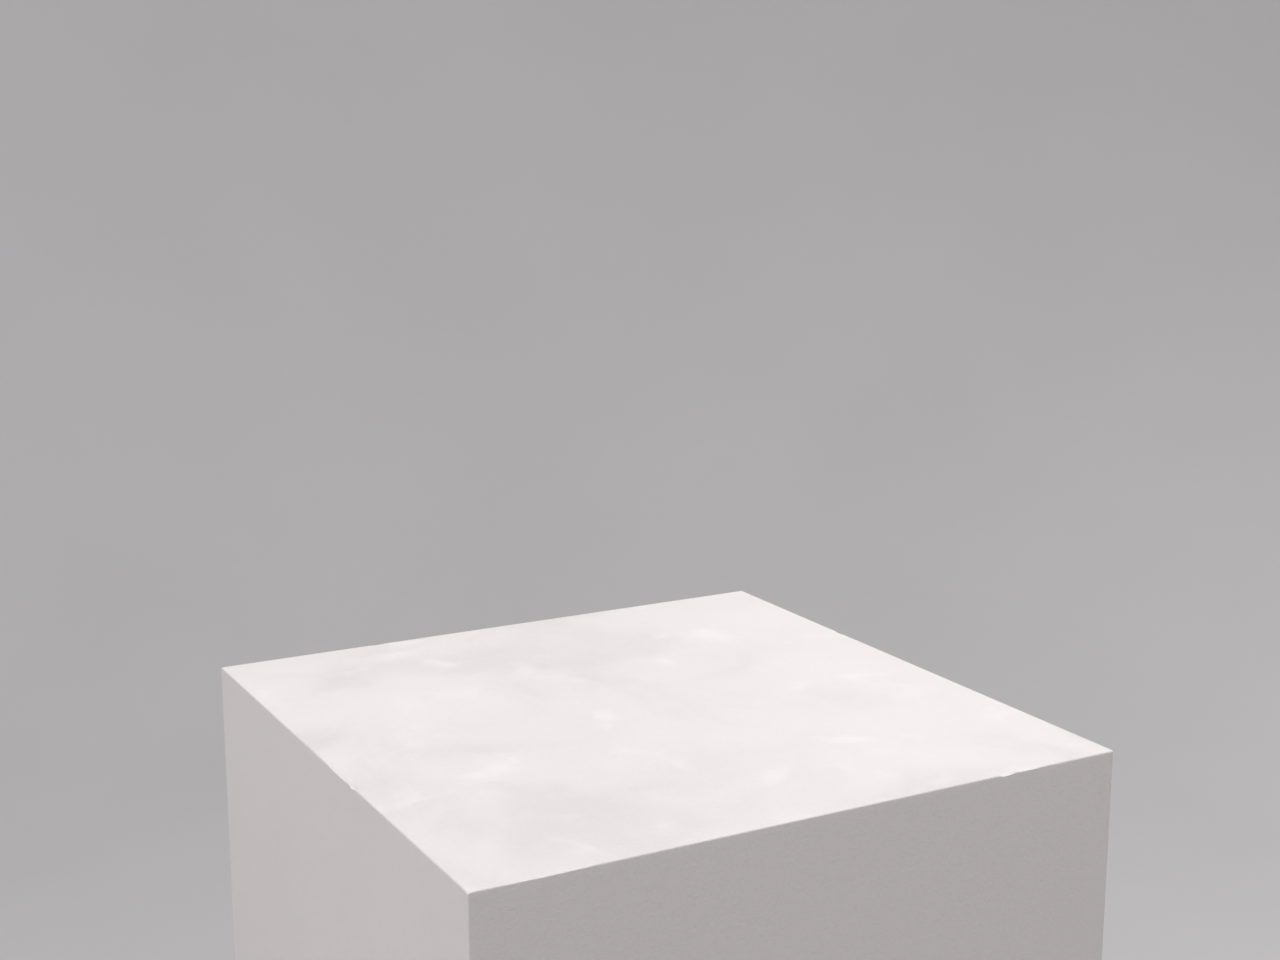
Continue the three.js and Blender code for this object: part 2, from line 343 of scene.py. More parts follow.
def make_object(name, bm, materials, sharp_angle=math.radians(28)):
    """Turns a bmesh into an object: outward faces, smooth shading broken at edges sharper than the angle."""
    bmesh.ops.recalc_face_normals(bm, faces=bm.faces)
    for face in bm.faces:
        face.smooth = True
    for edge in bm.edges:
        edge.smooth = len(edge.link_faces) == 2 and edge.calc_face_angle(0.0) < sharp_angle
    mesh = bpy.data.meshes.new(name)
    bm.to_mesh(mesh)
    bm.free()
    for material in materials:
        mesh.materials.append(material)
    piece = bpy.data.objects.new(name, mesh)
    bpy.context.scene.collection.objects.link(piece)
    return piece


def place_piece(piece, body, node=None):
    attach(piece, body)
    if node:
        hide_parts(node)


def ring_of_points(bm, ring, steps):
    """One ring of vertices round Z. A ring is (z, radius), each a number or a function of the angle."""
    points = []
    for i in range(steps):
        angle = TAU * i / steps
        z, r = (value(angle) if callable(value) else value for value in ring)
        points.append(bm.verts.new((r * math.cos(angle), r * math.sin(angle), z)))
    return points


def turned(bm, rings, steps=48, closed=False):
    """Adds a solid round Z to bm, through a stack of rings.

    An open stack is capped at both ends; a closed one joins its last ring to its first.
    """
    loops = [ring_of_points(bm, ring, steps) for ring in rings]
    pairs = list(zip(loops, loops[1:]))
    if closed:
        pairs.append((loops[-1], loops[0]))
    for below, above in pairs:
        for i in range(steps):
            j = (i + 1) % steps
            bm.faces.new((below[i], below[j], above[j], above[i]))
    if not closed:
        bm.faces.new(loops[0])
        bm.faces.new(loops[-1])
    return bm


ARC_STEPS = 4  # facets in each half of an arris
EDGE_BAND = (0.5 * MM, 1.2 * MM, 2.5 * MM, 5 * MM)  # extra lines beside an arris
MIN_STEP = 0.02 * MM


def stations(low, high, radius, pitch, fine):
    """Places along one side of a rounded box: a half arc at each end, every pitch and finer stretches."""
    arc = [radius * (1 - math.tan(math.pi / 4 * (1 - i / ARC_STEPS))) for i in range(ARC_STEPS + 1)]
    edge = arc + [radius + step for step in EDGE_BAND if radius + step < (high - low) / 2]
    inner_low, inner_high = low + edge[-1], high - edge[-1]
    count = max(1, round((inner_high - inner_low) / pitch))
    places = [low + d for d in edge] + [high - d for d in edge]
    places += [inner_low + (inner_high - inner_low) * i / count for i in range(1, count)]
    for start, stop, step in fine:
        places += [start + step * i for i in range(int((stop - start) / step) + 1)]
    kept = []
    for place in sorted(places):
        if low <= place <= high and (not kept or place - kept[-1] > MIN_STEP):
            kept.append(place)
    kept[-1] = high
    return kept


def rounded_box(low, high, radius, pitch=0.05, fine=((), (), ()), wear=None):
    """A closed box with rounded arrises. `wear` takes a point and its normal and gives the worn point."""
    low, high = Vector(low), Vector(high)
    lines = [stations(low[a], high[a], radius, pitch, fine[a]) for a in range(3)]
    last = [len(line) - 1 for line in lines]
    core_low = low + Vector((radius,) * 3)
    core_high = high - Vector((radius,) * 3)
    bm = bmesh.new()
    made = {}

    def vertex(i, j, k):
        if (i, j, k) not in made:
            square = Vector((lines[0][i], lines[1][j], lines[2][k]))
            core = Vector(min(max(square[a], core_low[a]), core_high[a]) for a in range(3))
            normal = (square - core).normalized()
            point = core + normal * radius
            if wear:
                point = wear(point, normal)
            made[i, j, k] = bm.verts.new(point)
        return made[i, j, k]

    for axis in range(3):
        u, v = [a for a in range(3) if a != axis]
        for end in (0, last[axis]):
            for a in range(last[u]):
                for b in range(last[v]):
                    corners = []
                    for da, db in ((0, 0), (1, 0), (1, 1), (0, 1)):
                        index = [end] * 3
                        index[u] = a + da
                        index[v] = b + db
                        corners.append(vertex(*index))
                    bm.faces.new(corners)
    return bm


def temporary(bm):
    mesh = bpy.data.meshes.new("temporary")
    bm.to_mesh(mesh)
    bm.free()
    shape = bpy.data.objects.new("temporary", mesh)
    bpy.context.scene.collection.objects.link(shape)
    return shape


def carve(bm, tools):
    """Cuts the solids in `tools` out of bm. The cut faces get material 1."""
    bmesh.ops.recalc_face_normals(bm, faces=bm.faces)
    bmesh.ops.recalc_face_normals(tools, faces=tools.faces)
    for face in tools.faces:
        face.material_index = 1
    target = temporary(bm)
    tool = temporary(tools)
    cut = target.modifiers.new("cut", "BOOLEAN")
    cut.object = tool
    cut.operation = "DIFFERENCE"
    cut.solver = "EXACT"
    result = bmesh.new()
    evaluated = target.evaluated_get(bpy.context.evaluated_depsgraph_get())
    result.from_mesh(evaluated.to_mesh())
    evaluated.to_mesh_clear()
    for shape in (target, tool):
        mesh = shape.data
        bpy.data.objects.remove(shape)
        bpy.data.meshes.remove(mesh)
    return result


def moved(bm, matrix):
    bmesh.ops.transform(bm, matrix=matrix, verts=bm.verts)
    return bm


def gather(parts):
    """Several bmeshes in one."""
    whole = bmesh.new()
    for part in parts:
        mesh = bpy.data.meshes.new("part")
        part.to_mesh(mesh)
        part.free()
        whole.from_mesh(mesh)
        bpy.data.meshes.remove(mesh)
    return whole


def turn(i):
    """A turn about Z from the front to side i."""
    return Matrix.Rotation(i * QUARTER, 4, "Z")


# ---------------------------------------------------------------- sizes read from the frame

panel_low, panel_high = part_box("front_panel")
BOARD = panel_high.y - panel_low.y
HALF = cad_high.x
BOARD_BOTTOM = panel_low.z
APEX = Vector((0, 0, TOP_Z - HALF))  # all the top mitres pass through it
post_low, post_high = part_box("front_left_post")
rail_low, rail_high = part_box("base_rail_front")
top_rail_low, top_rail_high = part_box("top_rail_front")
sub_low, sub_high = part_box("sub_top_board")
rail_screw_low, rail_screw_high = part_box("base_rail_screw_front_a")
top_screw_low, top_screw_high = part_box("top_screw_front_a")
pad_low, pad_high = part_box("front_left_foot_pad")
sole_low, sole_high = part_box("front_left_foot_sole")
stem_low, stem_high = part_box("front_left_foot_stem")
insert_low, insert_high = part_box("front_left_insert_nut")

RAIL_SCREW_LENGTH = rail_screw_high.y - rail_screw_low.y
TOP_SCREW_LENGTH = top_screw_high.z - top_screw_low.z
BASE_RAIL_MIDDLE = (rail_low.z + rail_high.z) / 2
TOP_RAIL_MIDDLE = (top_rail_low.z + top_rail_high.z) / 2
RAIL_SCREW_X = abs(rail_screw_low.x + rail_screw_high.x) / 2
TOP_SCREW_X = abs(top_screw_low.x + top_screw_high.x) / 2
TOP_SCREW_Y = (top_screw_low.y + top_screw_high.y) / 2
FOOT_AT = Vector(((pad_low.x + pad_high.x) / 2, (pad_low.y + pad_high.y) / 2, 0))


# ---------------------------------------------------------------- outer boards

ARRIS = 1.1 * MM
BOARD_PITCH = 25 * MM  # between the mesh lines of a flat
UP_AND_FRONT = Vector((0, -0.35, 0.94))
UP_AND_LEFT = Vector((-0.35, 0, 0.94))
# Chips and worn stretches: a point on the sharp edge, half the length, the depth, and the way the facet faces
CHIPS = [
    ((0.122, -HALF, TOP_Z), 7 * MM, 1.3 * MM, UP_AND_FRONT),
    ((0.138, -HALF, TOP_Z), 14 * MM, 0.75 * MM, UP_AND_FRONT),
    ((-0.160, -HALF, TOP_Z), 46 * MM, 0.75 * MM, Vector((0, -0.5, 0.87))),
    ((-HALF, -0.045, TOP_Z), 5 * MM, 1.3 * MM, UP_AND_LEFT),
    ((-HALF, -0.024, TOP_Z), 25 * MM, 0.8 * MM, UP_AND_LEFT),
    ((-HALF, -HALF, TOP_Z), 9 * MM, 1.2 * MM, Vector((-0.4, -0.4, 0.82))),
    ((HALF, 0.071, TOP_Z), 7 * MM, 1.1 * MM, Vector((0.6, 0, 0.8))),
    ((-0.092, HALF, TOP_Z), 8 * MM, 1.1 * MM, Vector((0, 0.6, 0.8))),
    ((-HALF, -HALF, 0.31), 9 * MM, 1.1 * MM, Vector((-0.6, -0.8, 0))),
    ((HALF, -HALF, 0.74), 7 * MM, 1.0 * MM, Vector((0.7, -0.7, 0.14))),
    ((HALF, HALF, 0.42), 10 * MM, 1.2 * MM, Vector((0.8, 0.6, 0))),
    ((0.055, -HALF, BOARD_BOTTOM), 10 * MM, 1.6 * MM, Vector((0, -0.8, -0.6))),
    ((-HALF, 0.12, BOARD_BOTTOM), 9 * MM, 1.4 * MM, Vector((-0.8, 0, -0.6))),
    ((HALF, -0.03, BOARD_BOTTOM), 8 * MM, 1.4 * MM, Vector((0.8, 0, -0.6))),
    ((0.11, HALF, BOARD_BOTTOM), 8 * MM, 1.4 * MM, Vector((0, 0.8, -0.6))),
]
CHIP_LINES = 7  # lines across half a chip
CHIP_STEP = 1.5 * MM  # the widest that they get
CHIP_MARGIN = 6 * MM  # keeps them off the corners' own lines
HAND_SANDING = 0.16 * MM  # how unevenly the arrises are eased
EASED_BAND = 3.5 * MM  # how far from the edge the sanding reaches
TONGUE_WIDE = 16 * MM
TONGUE_THICK = 4 * MM
GROOVE_GAP = 0.1 * MM
SCREW_CORE = 1.35 * MM
PILOT_SPARE = 0.5 * MM


def edge_share(point):
    """1 on an arris, falling to 0 a few millimetres away on the flats."""
    gaps = sorted(
        (HALF - abs(point.x), HALF - abs(point.y), min(TOP_Z - point.z, point.z - BOARD_BOTTOM))
    )
    return max(0.0, 1 - gaps[1] / EASED_BAND)


def arris_wear(point, normal):
    share = edge_share(point)
    if share > 0:
        uneven = 0.5 + 0.5 * noise.noise(point * 60) + 0.25 * noise.noise(point * 210)
        point = point - normal * (HAND_SANDING * uneven * share)
    for place, reach, deepest, facing in CHIPS:
        offset = point - Vector(place)
        away = offset.length / reach
        if away < 1:
            ragged = 1 + 0.22 * noise.noise(point * 420)
            above_facet = offset.dot(facing.normalized()) + deepest * ragged * (1 - away * away)
            if above_facet > 0:
                point = point - facing.normalized() * above_facet
    return point


def fine_stretches(axis):
    """Close lines round each chip, along the edge that it sits on."""
    ends = ((-HALF, HALF), (-HALF, HALF), (BOARD_BOTTOM, TOP_Z))[axis]
    found = []
    for place, reach, *_ in CHIPS:
        if all(abs(place[axis] - end) > 1 * MM for end in ends):
            start = max(place[axis] - reach, ends[0] + CHIP_MARGIN)
            stop = min(place[axis] + reach, ends[1] - CHIP_MARGIN)
            found.append((start, stop, min(reach / CHIP_LINES, CHIP_STEP)))
    return found


def keep_below(bm, point, normal):
    """Cuts bm at a plane, drops what is on the normal's side and closes the cut with a face of material 1."""
    everything = bm.verts[:] + bm.edges[:] + bm.faces[:]
    bmesh.ops.bisect_plane(
        bm, geom=everything, dist=1e-6, plane_co=point, plane_no=Vector(normal).normalized(), clear_outer=True
    )
    open_edges = [edge for edge in bm.edges if len(edge.link_faces) == 1]
    filled = bmesh.ops.holes_fill(bm, edges=open_edges, sides=0)
    for face in filled["faces"]:
        face.material_index = 1


def tongue_place(node):
    """A loose tongue's centre, its length, the axis along it and the way out through the mitre's edge."""
    tongue_low, tongue_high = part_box(node)
    size = tongue_high - tongue_low
    centre = (tongue_low + tongue_high) / 2
    along = max(range(3), key=lambda a: size[a])
    lengthwise = Vector((0, 0, 0))
    lengthwise[along] = 1
    outward = centre - APEX
    outward[along] = 0
    return centre, size[along], lengthwise, outward.normalized()


def spline_groove(node):
    """The groove for a loose tongue, a little larger than the tongue and turned across the mitre."""
    centre, length, lengthwise, outward = tongue_place(node)
    spans = [size + 2 * GROOVE_GAP for size in (TONGUE_WIDE, TONGUE_THICK, length)]
    stretch = Matrix.Diagonal((*spans, 1))
    axes = Matrix((lengthwise.cross(outward), outward, lengthwise)).transposed().to_4x4()
    groove = bmesh.new()
    bmesh.ops.create_cube(groove, size=1)
    return moved(groove, Matrix.Translation(centre) @ axes @ stretch)


def pilot(point, direction, depth):
    """A round hole for a screw's core, from a point along a direction."""
    hole = turned(bmesh.new(), [(-1 * MM, SCREW_CORE), (depth, SCREW_CORE)], 20)
    aim = Vector((0, 0, 1)).rotation_difference(Vector(direction)).to_matrix().to_4x4()
    return moved(hole, Matrix.Translation(point) @ aim)


def panel_pilots():
    """Pilot holes in the front panel's inner face for the screws through both rails."""
    inner = -HALF + BOARD
    depth = inner - rail_screw_low.y + PILOT_SPARE
    holes = []
    for z in (BASE_RAIL_MIDDLE, TOP_RAIL_MIDDLE):
        for x in (-RAIL_SCREW_X, RAIL_SCREW_X):
            holes.append(pilot((x, inner, z), (0, -1, 0), depth))
    return holes


def build_outer_boards(paint_look, mdf_look):
    fine = [fine_stretches(a) for a in range(3)]
    low_corner, high_corner = (-HALF, -HALF, BOARD_BOTTOM), (HALF, HALF, TOP_Z)
    shell = rounded_box(low_corner, high_corner, ARRIS, BOARD_PITCH, fine, arris_wear)
    bmesh.ops.recalc_face_normals(shell, faces=shell.faces)

    for i, side in enumerate(SIDES):
        board = shell.copy()
        spin = turn(i).to_3x3()
        keep_below(board, (0, 0, 0), spin @ Vector((1, 1, 0)))
        keep_below(board, (0, 0, 0), spin @ Vector((-1, 1, 0)))
        keep_below(board, APEX, spin @ Vector((0, 1, 1)))
        keep_below(board, spin @ Vector((0, BOARD - HALF, 0)), spin @ Vector((0, 1, 0)))
        cutters = [moved(hole, turn(i)) for hole in panel_pilots()]
        next_corner = CORNERS[(i + 1) % 4]
        for tongue in (f"{CORNERS[i]}_edge_spline", f"{next_corner}_edge_spline", f"top_{side}_spline"):
            cutters.append(spline_groove(tongue))
        board = carve(board, gather(cutters))
        piece = make_object(f"{side}_board", board, [paint_look, mdf_look])
        place_piece(piece, "plinth", f"{side}_panel")

    board = shell
    for i in range(4):
        keep_below(board, APEX, turn(i).to_3x3() @ Vector((1, 0, -1)))
    keep_below(board, (0, 0, TOP_Z - BOARD), (0, 0, -1))
    cutters = [spline_groove(f"top_{side}_spline") for side in SIDES]
    depth = top_screw_high.z - (TOP_Z - BOARD) + PILOT_SPARE
    for i in range(4):
        for x in (-TOP_SCREW_X, TOP_SCREW_X):
            hole = pilot((x, TOP_SCREW_Y, TOP_Z - BOARD), (0, 0, 1), depth)
            cutters.append(moved(hole, turn(i)))
    board = carve(board, gather(cutters))
    piece = make_object("top_board", board, [paint_look, mdf_look])
    place_piece(piece, "plinth", "top_panel")


# ---------------------------------------------------------------- hidden frame

EASED_TIMBER = 2.0 * MM
EASED_PLY = 0.5 * MM
RAIL_PITCH = 60 * MM  # between the mesh lines of a flat
POST_PITCH = 80 * MM
PLY = 1.4 * MM  # one veneer of the sub-top board
SPLINE_PLY = 1.0 * MM
SCREW_HEAD = 4 * MM
SCREW_HEAD_HEIGHT = 3 * MM
HEAD_GAP = 0.2 * MM
SHANK_HOLE = 2.2 * MM
PAST_RAIL = 50 * MM  # holes this long come out of the far side
PAST_PLY = 20 * MM
INSERT_BORE = 8.1 * MM
STEM_BORE = 5.6 * MM
BORE_GAP = 0.3 * MM
BORE_SPARE = 5 * MM


def screw_hole(length):
    """Clearance hole with a countersink, its mouth at z = 0 and running down."""
    rings = [
        (1 * MM, SCREW_HEAD + HEAD_GAP), (0, SCREW_HEAD + HEAD_GAP),
        (-SCREW_HEAD_HEIGHT, SHANK_HOLE), (-length, SHANK_HOLE),
    ]
    return turned(bmesh.new(), rings, 32)


def rail_screw_place(x, z):
    """From the inner face of the front rail, pointing outwards."""
    return Matrix.Translation((x, rail_screw_high.y, z)) @ Matrix.Rotation(-QUARTER, 4, "X")


def top_screw_place(x):
    """From the lower face of the sub-top board, pointing up, along the front edge."""
    return Matrix.Translation((x, TOP_SCREW_Y, top_screw_low.z)) @ Matrix.Rotation(math.pi, 4, "X")


def build_rails(looks):
    for kind, (bottom, top) in {"base": (rail_low, rail_high), "top": (top_rail_low, top_rail_high)}.items():
        for i, side in enumerate(SIDES):
            stick = rounded_box(bottom, top, EASED_TIMBER, RAIL_PITCH)
            middle = (bottom.z + top.z) / 2
            holes = []
            for x in (-RAIL_SCREW_X, RAIL_SCREW_X):
                holes.append(moved(screw_hole(PAST_RAIL), rail_screw_place(x, middle)))
            stick = moved(carve(stick, gather(holes)), turn(i))
            piece = make_object(f"{kind}_rail_{side}_timber", stick, [looks[i % 2], looks[i % 2]])
            place_piece(piece, "plinth", f"{kind}_rail_{side}")


def build_posts(look):
    for i, corner in enumerate(CORNERS):
        stick = rounded_box(post_low, post_high, EASED_TIMBER, POST_PITCH)
        step = insert_high.z + BORE_GAP
        bore_rings = [
            (post_low.z - 1 * MM, INSERT_BORE), (step, INSERT_BORE),
            (step, STEM_BORE), (stem_high.z + BORE_SPARE, STEM_BORE),
        ]
        bore = turned(bmesh.new(), bore_rings, 40)
        bore = moved(bore, Matrix.Translation(FOOT_AT))
        stick = moved(carve(stick, bore), turn(i))
        piece = make_object(f"{corner}_post_timber", stick, [look, look])
        place_piece(piece, "plinth", f"{corner}_post")


def build_sub_top(look):
    board = rounded_box(sub_low, sub_high, EASED_PLY, RAIL_PITCH)
    holes = []
    for i in range(4):
        for x in (-TOP_SCREW_X, TOP_SCREW_X):
            holes.append(moved(screw_hole(PAST_PLY), turn(i) @ top_screw_place(x)))
    piece = make_object("sub_top_ply", carve(board, gather(holes)), [look, look])
    place_piece(piece, "plinth", "sub_top_board")


def dress_splines():
    """The tongues keep their CAD shape, with eased edges and their own veneers."""
    for name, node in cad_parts.items():
        if not name.endswith("_spline"):
            continue
        outward = tongue_place(name)[-1]
        look = plywood(f"{name}_ply", outward, SPLINE_PLY)
        node.data.materials.clear()
        node.data.materials.append(look)
        welded = node.modifiers.new("welded", "WELD")
        welded.merge_threshold = 0.01 * MM
        eased = node.modifiers.new("eased", "BEVEL")
        eased.width = 0.3 * MM
        eased.segments = 2


# ---------------------------------------------------------------- screws

THREAD_PITCH = 1.8 * MM
SCREW_CREST = 2.0 * MM
SCREW_SHANK = 1.45 * MM
SCREW_TIP = 6 * MM
SMOOTH_SHARE = 0.38  # of the length, below the head
THREAD_STEPS = 12  # rings in each turn of a wood thread
RECESS_DEPTH = 2.0 * MM
RECESS_SPAN = (2.4 * MM, 4.4 * MM)  # of one wing of the cross, at its floor and its mouth
RECESS_WIDTH = (0.7 * MM, 1.05 * MM)


def helix_share(z, angle, pitch):
    """0 in the root of a right-hand thread, 1 on its crest."""
    phase = (z / pitch - angle / TAU) % 1.0
    return 1 - abs(2 * phase - 1)


def screw_shape(length):
    """Countersunk wood screw: cross recess, plain neck, coarse thread and a point. Head face at z = 0."""
    thread_top = -SMOOTH_SHARE * length
    rings = [(-length, 0.05 * MM)]
    z = -length + 0.2 * MM
    while z < thread_top:
        taper = min(1.0, (z + length) / SCREW_TIP)
        fade = min(1.0, (thread_top - z) / THREAD_PITCH)

        def radius(angle, z=z, taper=taper, fade=fade):
            crest = max(0.0, 4 * helix_share(z, angle, THREAD_PITCH) - 3) * fade
            return taper * (SCREW_CORE + (SCREW_CREST - SCREW_CORE) * crest)

        rings.append((z, radius))
        z += THREAD_PITCH / THREAD_STEPS
    rings += [
        (thread_top + 0.3 * MM, SCREW_SHANK), (-SCREW_HEAD_HEIGHT - 0.6 * MM, SCREW_SHANK),
        (-SCREW_HEAD_HEIGHT, 1.9 * MM), (-0.45 * MM, SCREW_HEAD), (-0.1 * MM, SCREW_HEAD),
        (0, SCREW_HEAD - 0.12 * MM),
    ]
    body = turned(bmesh.new(), rings, 24)
    for i in range(2):
        wing = bmesh.new()
        bmesh.ops.create_cube(wing, size=1)
        for vert in wing.verts:
            at_mouth = vert.co.z > 0
            vert.co.x *= RECESS_SPAN[at_mouth]
            vert.co.y *= RECESS_WIDTH[at_mouth]
            vert.co.z = 0.3 * MM if at_mouth else -RECESS_DEPTH
        body = carve(body, moved(wing, turn(i)))
    return body


def build_screws(look):
    shapes = {}
    for key, length in (("rail", RAIL_SCREW_LENGTH), ("top", TOP_SCREW_LENGTH)):
        first = make_object(f"{key}_screw_shape", screw_shape(length), [look, look])
        shapes[key] = first.data
        bpy.data.objects.remove(first)

    def add(name, shape, place, node=None):
        piece = bpy.data.objects.new(name, shapes[shape])
        bpy.context.scene.collection.objects.link(piece)
        piece.matrix_world = place
        place_piece(piece, "plinth", node)

    for i, side in enumerate(SIDES):
        for sign, end in ((-1, "a"), (1, "b")):
            spin = turn(i)
            twist = Matrix.Rotation(0.7 * i + 0.9 * sign, 4, "Z")
            base_place = spin @ rail_screw_place(sign * RAIL_SCREW_X, BASE_RAIL_MIDDLE) @ twist
            add(f"base_rail_wood_screw_{side}_{end}", "rail", base_place, f"base_rail_screw_{side}_{end}")
            upper_place = spin @ rail_screw_place(sign * RAIL_SCREW_X, TOP_RAIL_MIDDLE) @ twist
            add(f"top_rail_wood_screw_{side}_{end}", "rail", upper_place)
            top_place = spin @ top_screw_place(sign * TOP_SCREW_X) @ twist
            add(f"top_wood_screw_{side}_{end}", "top", top_place, f"top_screw_{side}_{end}")


# ---------------------------------------------------------------- levelling feet

FACETS = 48
M10_PITCH = 1.5 * MM
M10_CREST = 4.95 * MM
M10_ROOT = 4.05 * MM
M10_STEPS = 10  # rings in each turn
M10_POINT = 3.6 * MM  # the least radius of the stem's pointed end
RUN_OUT = 1.2 * MM  # between the hexagon and the thread
THREAD_GAP = 0.09 * MM

# The stem's hexagon and lower end; from here on a plain length is a radius or a height
HEX_FLATS = min(stem_high.x - stem_low.x, stem_high.y - stem_low.y)
HEX_FACE = 0.47 * HEX_FLATS  # radius of the round face inside the chamfer
HEX_GAP = 0.3 * MM  # to the pad below and to the insert above
CHAMFER = math.radians(30)
BUTTON = 6.0 * MM  # the end that snaps into the pad
BUTTON_HEIGHT = 2.7 * MM
BUTTON_EDGE = 0.4 * MM
NECK = 4.0 * MM

# The insert in the post
FLANGE = 12.0 * MM
FLANGE_HEIGHT = 1.7 * MM
FLANGE_EDGE = 0.3 * MM
INSERT_MOUTH = 5.6 * MM
SLEEVE = 6.9 * MM
WOOD_PITCH = 3.0 * MM
WOOD_CREST = 1.05 * MM

# The pad and its dished shoulder
PAD_RIM = 20 * MM
RIM_ROUND = 0.8 * MM
SHOULDER_OUT = 18.3 * MM
SHOULDER_IN = 11.6 * MM
SHOULDER_DROP = 4.4 * MM
SOCKET = 6.3 * MM
SOCKET_HEIGHT = 3.0 * MM
SOCKET_NECK = 4.2 * MM

# The sole; a groove's width is given from its middle
SOLE = 19 * MM
SOLE_GROOVES = (15 * MM, 11 * MM, 7 * MM)
SOLE_GROOVE_DEPTH = 0.5 * MM
SOLE_GROOVE_MOUTH = 0.6 * MM
SOLE_GROOVE_FLOOR = 0.35 * MM


def metric(z, angle):
    """60 degree profile with flat crest and root."""
    share = helix_share(z, angle, M10_PITCH)
    return M10_ROOT + (M10_CREST - M10_ROOT) * min(1.0, max(0.0, (share - 0.2) / 0.68))


def thread_rings(low_z, high_z, extra, crest_limit):
    """Rings of an M10 thread, `extra` wider. crest_limit takes a height and a radius and trims the radius."""
    rings = []
    steps = round((high_z - low_z) / (M10_PITCH / M10_STEPS))
    for i in range(steps + 1):
        z = low_z + (high_z - low_z) * i / steps
        rings.append((z, lambda angle, z=z: crest_limit(z, metric(z, angle) + extra)))
    return rings


def hexagon(angle):
    """Radius of the hexagon at an angle."""
    bend = (angle + math.pi / 6) % (math.pi / 3) - math.pi / 6
    return HEX_FLATS / 2 / math.cos(bend)


def hex_chamfer(angle):
    """How far the chamfer comes down the hexagon from its end face."""
    return (hexagon(angle) - HEX_FACE) * math.tan(CHAMFER)


def stem_shape():
    """From below: the button held in the pad, its neck, the thin hexagon and the M10 thread."""
    button_low, button_high = stem_low.z, stem_low.z + BUTTON_HEIGHT
    hex_low, hex_high = pad_high.z + HEX_GAP, insert_low.z - HEX_GAP
    thread_low = hex_high + RUN_OUT
    top = stem_high.z
    rings = [
        (button_low, BUTTON - 1.5 * BUTTON_EDGE), (button_low + BUTTON_EDGE, BUTTON),
        (button_high - BUTTON_EDGE, BUTTON), (button_high, BUTTON - BUTTON_EDGE),
        (button_high, NECK), (hex_low, NECK),
        (hex_low, HEX_FACE), (lambda angle: hex_low + hex_chamfer(angle), hexagon),
        (lambda angle: hex_high - hex_chamfer(angle), hexagon), (hex_high, HEX_FACE),
        (hex_high, M10_ROOT + 0.25 * MM), (thread_low, M10_ROOT),
    ]

    def limit(z, r):
        fade = min(1.0, (z - thread_low) / M10_PITCH)
        cone = max(M10_POINT, M10_ROOT + (top - z) * 0.9 - 0.3 * MM)
        return min(M10_ROOT + (r - M10_ROOT) * fade, cone)

    rings += thread_rings(thread_low + 0.05 * MM, top - 0.02 * MM, 0, limit)
    rings.append((top, M10_POINT - 0.2 * MM))
    return turned(bmesh.new(), rings, FACETS)


def insert_shape():
    """Screw-in insert: a flange, a sleeve with a coarse wood thread outside and the M10 thread inside."""
    bottom, top = insert_low.z, insert_high.z
    flange_top = bottom + FLANGE_HEIGHT
    outer = [
        (bottom, INSERT_MOUTH), (bottom, FLANGE - FLANGE_EDGE), (bottom + FLANGE_EDGE, FLANGE),
        (flange_top - 0.2 * MM, FLANGE), (flange_top, FLANGE - 0.2 * MM), (flange_top, SLEEVE),
    ]
    body_low, body_high = flange_top + 0.4 * MM, top - 0.6 * MM
    steps = round((body_high - body_low) / (WOOD_PITCH / THREAD_STEPS))
    for i in range(steps + 1):
        z = body_low + (body_high - body_low) * i / steps
        fade = min(1.0, (body_high - z) / WOOD_PITCH, (z - body_low) / (0.4 * WOOD_PITCH))

        def radius(angle, z=z, fade=fade):
            crest = max(0.0, 2.6 * helix_share(z, angle, WOOD_PITCH) - 1.6) * fade
            return SLEEVE + WOOD_CREST * crest

        outer.append((z, radius))
    outer += [(top - 0.3 * MM, SLEEVE - 0.3 * MM), (top, SLEEVE - 0.6 * MM), (top, INSERT_MOUTH - 0.2 * MM)]

    def limit(z, r):
        end_gap = min(z - bottom, top - z)
        return max(r, INSERT_MOUTH - 0.25 * MM - end_gap)

    inner = thread_rings(bottom + 0.15 * MM, top - 0.15 * MM, THREAD_GAP, limit)
    return turned(bmesh.new(), outer + inner[::-1], FACETS, closed=True)


def pad_shape():
    """Moulded pad with rounded rim, a dished shoulder and the snap-in socket for the stem."""
    base, top = pad_low.z, pad_high.z
    outer = [(base, 18.8 * MM), (base + 0.15 * MM, 19.4 * MM)]
    for i in range(5):
        a = QUARTER * i / 4
        z = base + 1.0 * MM + RIM_ROUND * math.sin(a)
        outer.append((z, PAD_RIM - RIM_ROUND + RIM_ROUND * math.cos(a)))
    for i in range(9):
        share = i / 8
        fall = math.cos(share * QUARTER)
        dish = (1 - (1 - fall) ** 1.4) * (1 - share)
        r = SHOULDER_IN + (SHOULDER_OUT - SHOULDER_IN) * (1 - share)
        outer.append((top - 0.9 * MM - SHOULDER_DROP * dish, r))
    outer += [(top - 0.3 * MM, 11.0 * MM), (top, 10.6 * MM), (top, SOCKET_NECK + 0.4 * MM)]
    ceiling = base + SOCKET_HEIGHT
    socket = [
        (top - 0.4 * MM, SOCKET_NECK), (ceiling, SOCKET_NECK),
        (ceiling, SOCKET), (base, SOCKET + 0.2 * MM),
    ]
    return turned(bmesh.new(), outer + socket, 72, closed=True)


